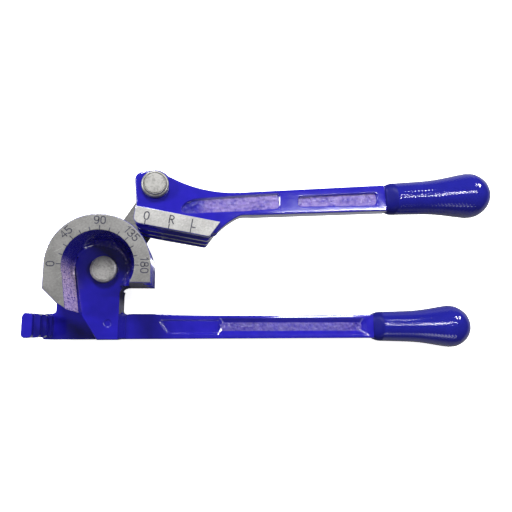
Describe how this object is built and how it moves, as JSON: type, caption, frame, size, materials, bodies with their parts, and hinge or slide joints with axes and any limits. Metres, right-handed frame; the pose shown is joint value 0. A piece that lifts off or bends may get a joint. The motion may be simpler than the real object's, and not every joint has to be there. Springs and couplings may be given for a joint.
{
  "type": "tube bender",
  "caption": "Lever tube bender: a grooved forming wheel with a degree scale, cast with its handle and hook, a hinged link and a lever with a grooved shoe, both handles in bulb-ended grips.",
  "frame": {"origin": "on the axis of the forming wheel, at the wheel pin's rear end face, which is level with the back of the lower handle bar", "axes": "+X along the lower handle towards its grip, +Y from the lower handle towards the upper handle, +Z along the wheel's axis out of the scale face; the tool lies on its back"},
  "size_m": [0.229, 0.0903, 0.0544],
  "materials": {
    "blue_paint": "glossy blue paint over die casting",
    "grip_rubber": "glossy blue dipped plastic with a fine knurl",
    "plated_steel": "zinc plated, satin",
    "spring_steel": "dark spring steel"
  },
  "bodies": {
    "frame": {"bender_body": "blue_paint", "body_grip": "grip_rubber", "wheel_pin": "plated_steel", "wheel_pin_washer": "plated_steel", "wheel_pin_clip": "spring_steel"},
    "link": {"link_plate": "plated_steel", "lever_pin": "plated_steel", "lever_pin_washer": "plated_steel", "lever_pin_clip": "spring_steel"},
    "lever": {"lever_casting": "blue_paint", "lever_grip": "grip_rubber"}
  },
  "joints": [
    {"name": "link_pivot", "type": "hinge", "parent": "frame", "child": "link", "pos_m": [0, 0, 0], "axis": [0, 0, 1], "range_deg": [-58.3, 121.7]},
    {"name": "lever_pivot", "type": "hinge", "parent": "link", "child": "lever", "pos_m": [0.02354, 0.03812, 0], "axis": [0, 0, 1], "range_deg": [-22.4, 110]}
  ]
}
